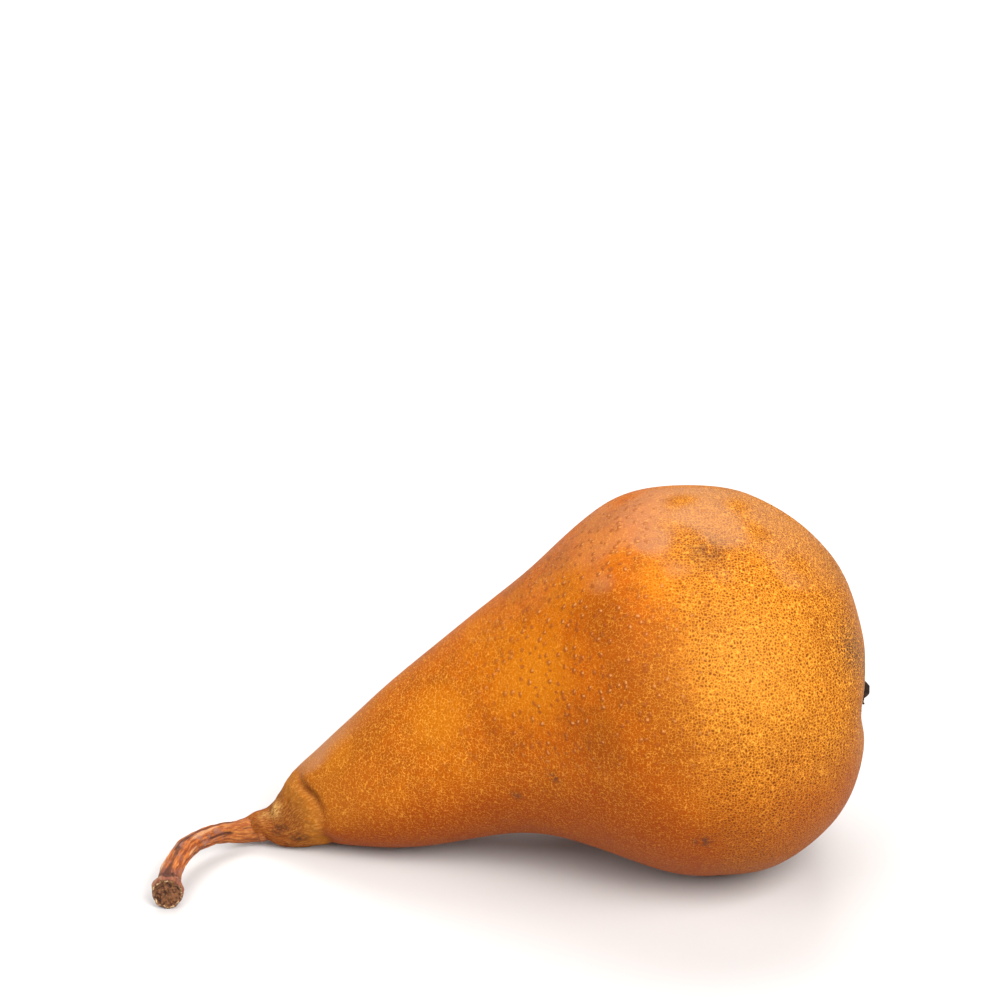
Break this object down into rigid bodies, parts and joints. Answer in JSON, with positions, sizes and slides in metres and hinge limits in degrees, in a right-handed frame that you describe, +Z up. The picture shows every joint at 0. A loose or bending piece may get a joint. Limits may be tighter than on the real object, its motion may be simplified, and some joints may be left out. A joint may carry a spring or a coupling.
{
  "type": "pear",
  "caption": "Ripe long-necked russet pear lying on its side, with its bent woody stalk and its dried calyx.",
  "frame": {"origin": "centre of the flat spot under the belly, on the surface that the pear lies on", "axes": "+X from the stalk towards the calyx end along the length of the pear, +Z up"},
  "size_m": [0.1344, 0.0734, 0.0724],
  "materials": {
    "pear_skin": "smooth waxy pear skin, golden orange under fine brown russet net and dots, soft sheen",
    "stalk_bark": "rough reddish brown bark with long ridges and grey patches, pale rough cut end",
    "dried_calyx": "dry, shrivelled and nearly black sepals and stamens"
  },
  "bodies": {
    "root": {"fruit": "pear_skin", "stalk": "stalk_bark", "calyx": "dried_calyx"}
  },
  "joints": []
}
